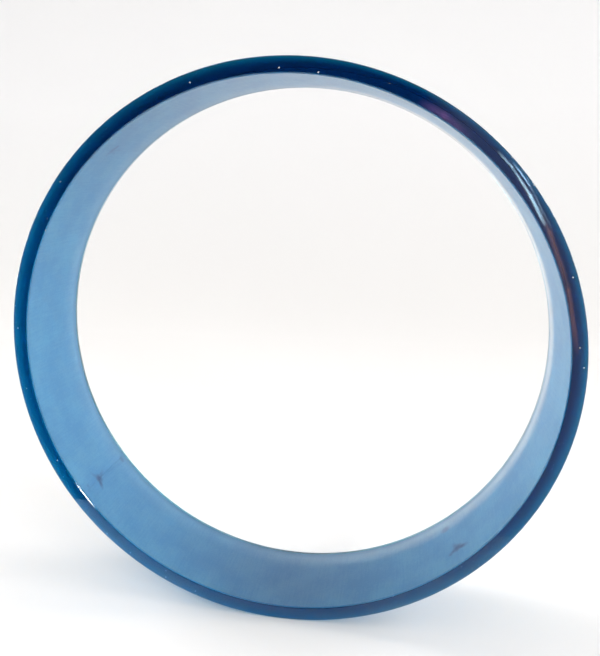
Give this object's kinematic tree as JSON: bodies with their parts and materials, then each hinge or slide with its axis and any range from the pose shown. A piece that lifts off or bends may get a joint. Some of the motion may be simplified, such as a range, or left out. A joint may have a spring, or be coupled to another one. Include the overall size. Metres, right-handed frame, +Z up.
{
  "type": "juggling ring",
  "caption": "Deep round ring of clear tinted plastic with polished edges, and a satin grip lining in strips let flush into its bore.",
  "frame": {"origin": "centre of the ring, on its axis, halfway between its front and rear faces", "axes": "+Y along the ring's axis from the front face to the rear face, +Z up with the ring standing on its edge, +X to the right as seen from the front"},
  "size_m": [0.32, 0.06, 0.32],
  "materials": {
    "tinted_clear_plastic": "polished",
    "satin_lining": "satin"
  },
  "bodies": {
    "root": {"hoop": "tinted_clear_plastic", "grip_strip_top": "satin_lining", "grip_strip_right": "satin_lining", "grip_strip_bottom": "satin_lining", "grip_strip_left": "satin_lining"}
  },
  "joints": []
}
